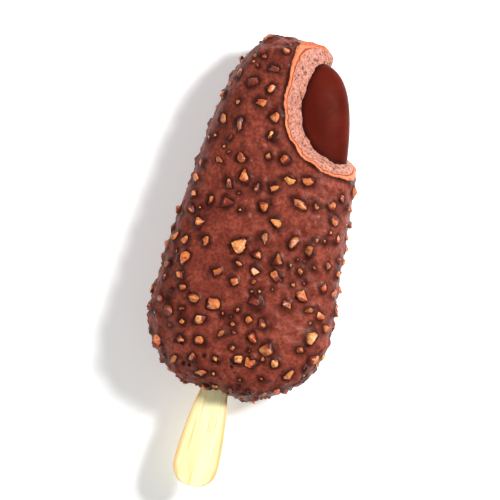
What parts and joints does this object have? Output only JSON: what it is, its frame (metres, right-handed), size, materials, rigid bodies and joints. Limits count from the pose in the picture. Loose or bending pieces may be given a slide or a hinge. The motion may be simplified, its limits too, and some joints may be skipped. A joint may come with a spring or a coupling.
{
  "type": "ice cream bar",
  "caption": "Tapered chocolate-coated ice cream bar with chopped nuts on a wooden paddle stick, lying flat; a corner bite shows pink ice cream round a smooth dark chocolate core.",
  "frame": {"origin": "on the small flat of the back that the bar rests on, under the middle of its width and 46 mm from the rounded foot that the stick leaves", "axes": "+X across the bar towards the bitten side, +Y along the bar from the stick to the tip, +Z out of the shown face"},
  "size_m": [0.053, 0.1278, 0.0271],
  "materials": {
    "chocolate_coating": "milk chocolate couverture, satin, uneven, with soft ripples round the nuts",
    "chopped_nuts": "roasted chopped nuts, golden orange, partly covered in chocolate",
    "ice_cream": "pink ice cream, matt and fine grained, with dark specks and small air holes",
    "chocolate_core": "dark chocolate, smooth and softly glossy",
    "stick_wood": "pale birch, sanded, with fine grain along the stick"
  },
  "bodies": {
    "root": {"coating": "chocolate_coating", "ice_cream": "ice_cream", "core": "chocolate_core", "stick": "stick_wood"}
  },
  "joints": []
}
